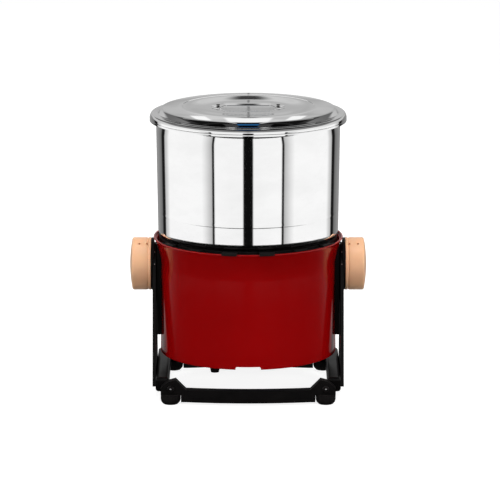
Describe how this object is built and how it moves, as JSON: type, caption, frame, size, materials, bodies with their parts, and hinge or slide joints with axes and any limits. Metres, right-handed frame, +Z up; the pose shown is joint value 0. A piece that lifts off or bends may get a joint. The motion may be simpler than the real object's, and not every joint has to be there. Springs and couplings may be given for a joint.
{
  "type": "wet grinder",
  "caption": "Tilting tabletop wet grinder: lidded steel drum with granite base and cone stones on a round housing that tips between side arms on a low bar stand.",
  "frame": {"origin": "centre of the stand's footprint on the table, under the drum axis", "axes": "+Z up along the drum axis, +X to the right along the tilt axis, front of the grinder at -Y"},
  "size_m": [0.3234, 0.268, 0.3968],
  "materials": {
    "mirror_steel": "mirror polished",
    "shaft_steel": "turned",
    "red_plastic": "glossy",
    "black_plastic": "satin",
    "black_steel": "semi-gloss paint",
    "cream_plastic": "satin",
    "rubber": "matt",
    "granite": "ground",
    "cast_metal": "as cast",
    "white_plastic": "satin",
    "switch_red": "glossy"
  },
  "bodies": {
    "stand": {"side_frame_left": "black_steel", "side_frame_right": "black_steel", "side_rail_left": "black_steel", "side_rail_right": "black_steel", "front_bar": "black_plastic", "rear_bar": "black_plastic", "foot_front_left": "rubber", "foot_front_right": "rubber", "foot_rear_left": "rubber", "foot_rear_right": "rubber", "frame_bolt_front_left": "shaft_steel", "frame_bolt_front_right": "shaft_steel", "frame_bolt_rear_left": "shaft_steel", "frame_bolt_rear_right": "shaft_steel"},
    "housing": {"red_shell": "red_plastic", "top_deck": "black_plastic", "bottom_cover": "black_plastic", "cord_gland": "rubber", "switch_frame": "black_plastic", "hinge_bracket_left": "black_plastic", "hinge_bracket_right": "black_plastic", "trunnion_left": "shaft_steel", "trunnion_right": "shaft_steel", "chassis_plate": "cast_metal", "centre_bearing": "cast_metal", "centre_spindle": "shaft_steel", "motor_body": "cast_metal", "drive_belt": "rubber", "roller_holder": "white_plastic", "roller_axle_left": "shaft_steel", "roller_axle_right": "shaft_steel", "roller_cap_left": "white_plastic", "roller_cap_right": "white_plastic", "drum_scraper": "white_plastic"},
    "drum_set": {"drum": "mirror_steel", "base_stone": "granite", "drum_pillar": "shaft_steel", "drum_pulley": "cast_metal"},
    "motor_rotor": {"motor_shaft": "shaft_steel", "motor_pulley": "cast_metal"},
    "roller_left": {"roller_stone_left": "granite"},
    "roller_right": {"roller_stone_right": "granite"},
    "stone_lock": {"lock_knob": "black_plastic"},
    "lid_body": {"lid": "mirror_steel", "lid_handle": "mirror_steel"},
    "knob_left": {"clamp_knob_left": "cream_plastic"},
    "knob_right": {"clamp_knob_right": "cream_plastic"},
    "rocker": {"switch_rocker": "switch_red"}
  },
  "joints": [
    {"name": "tilt", "type": "hinge", "parent": "stand", "child": "housing", "pos_m": [0, 0, 0.174], "axis": [1, 0, 0], "range_deg": [0, 90]},
    {"name": "drum_spin", "type": "hinge", "parent": "housing", "child": "drum_set", "pos_m": [0, 0, 0.218], "axis": [0, 0, 1], "continuous": true},
    {"name": "motor_spin", "type": "hinge", "parent": "housing", "child": "motor_rotor", "pos_m": [0, 0.071, 0.187], "axis": [0, 0, 1], "continuous": true},
    {"name": "roller_left_spin", "type": "hinge", "parent": "housing", "child": "roller_left", "pos_m": [0, 0, 0.2451], "axis": [-0.9272, 0, 0.3746], "continuous": true},
    {"name": "roller_right_spin", "type": "hinge", "parent": "housing", "child": "roller_right", "pos_m": [0, 0, 0.2451], "axis": [0.9272, 0, 0.3746], "continuous": true},
    {"name": "stone_lock_turn", "type": "hinge", "parent": "housing", "child": "stone_lock", "pos_m": [0, 0, 0.3313], "axis": [0, 0, 1], "range_deg": [0, 180]},
    {"name": "lid_lift", "type": "slide", "parent": "drum_set", "child": "lid_body", "axis": [0, 0, 1], "range_m": [0, 0.15]},
    {"name": "knob_left_turn", "type": "hinge", "parent": "housing", "child": "knob_left", "pos_m": [0, 0, 0.174], "axis": [-1, 0, 0], "range_deg": [0, 180]},
    {"name": "knob_right_turn", "type": "hinge", "parent": "housing", "child": "knob_right", "pos_m": [0, 0, 0.174], "axis": [1, 0, 0], "range_deg": [0, 180]},
    {"name": "rocker_press", "type": "hinge", "parent": "housing", "child": "rocker", "pos_m": [0, 0.1164, 0.092], "axis": [1, 0, 0], "range_deg": [0, 14]}
  ],
  "couplings": [
    {"joint": "motor_spin", "follows": "drum_spin", "ratio": 4.7624},
    {"joint": "roller_left_spin", "follows": "drum_spin", "ratio": 2.6695},
    {"joint": "roller_right_spin", "follows": "drum_spin", "ratio": 2.6695}
  ]
}
